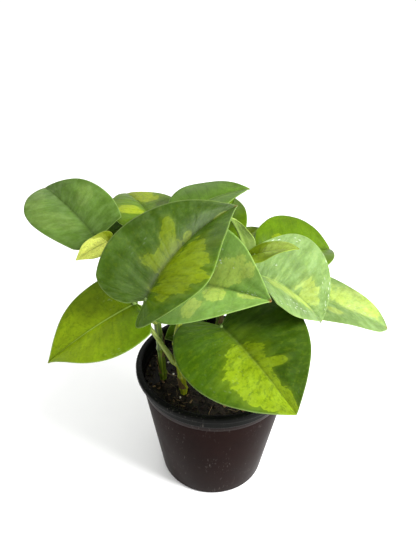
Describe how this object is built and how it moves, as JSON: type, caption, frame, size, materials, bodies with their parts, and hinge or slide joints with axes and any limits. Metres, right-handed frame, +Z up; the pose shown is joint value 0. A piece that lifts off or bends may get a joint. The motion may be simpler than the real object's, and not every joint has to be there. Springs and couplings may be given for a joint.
{
  "type": "potted pothos plant",
  "caption": "Small potted houseplant: heart-shaped variegated green and lime leaves on thin stalks, rooted in soil in a round black tapered plastic nursery pot.",
  "frame": {"origin": "centre of the pot's underside, on the surface that the pot stands on", "axes": "+Z up along the pot's axis, -Y towards the front, where the large leaf leans out, +X to the right"},
  "size_m": [0.2507, 0.1595, 0.2114],
  "materials": {
    "pot_plastic": "satin",
    "soil": "matte",
    "stem": "satin",
    "stalk": "satin",
    "leaf_deep_green": "satin",
    "leaf_grey_green": "satin",
    "leaf_lime": "satin",
    "leaf_pale": "satin"
  },
  "bodies": {
    "root": {"nursery_pot": "pot_plastic", "potting_soil": "soil", "stem_left": "stem", "stem_front": "stem", "stem_right": "stem", "stem_back": "stem", "stem_rear_left": "stem", "stalk_crown_large": "stalk", "leaf_crown_large": "leaf_deep_green", "stalk_low_left": "stalk", "leaf_low_left": "leaf_lime", "stalk_far_left": "stalk", "leaf_far_left": "leaf_grey_green", "stalk_far_left_rear": "stalk", "leaf_far_left_rear": "leaf_deep_green", "stalk_new_pale": "stalk", "leaf_new_pale": "leaf_pale", "stalk_back_left": "stalk", "leaf_back_left": "leaf_lime", "stalk_crown_back": "stalk", "leaf_crown_back": "leaf_grey_green", "stalk_back_centre": "stalk", "leaf_back_centre": "leaf_lime", "stalk_back_pale": "stalk", "leaf_back_pale": "leaf_pale", "stalk_new_rolled": "stalk", "leaf_new_rolled": "leaf_lime", "stalk_crown_front": "stalk", "leaf_crown_front": "leaf_grey_green", "stalk_front_right": "stalk", "leaf_front_right": "leaf_deep_green", "stalk_right": "stalk", "leaf_right": "leaf_grey_green", "stalk_back_right": "stalk", "leaf_back_right": "leaf_lime", "stalk_young_right": "stalk", "leaf_young_right": "leaf_lime", "stalk_far_right": "stalk", "leaf_far_right": "leaf_pale", "stalk_small_inner": "stalk", "leaf_small_inner": "leaf_lime"}
  },
  "joints": []
}
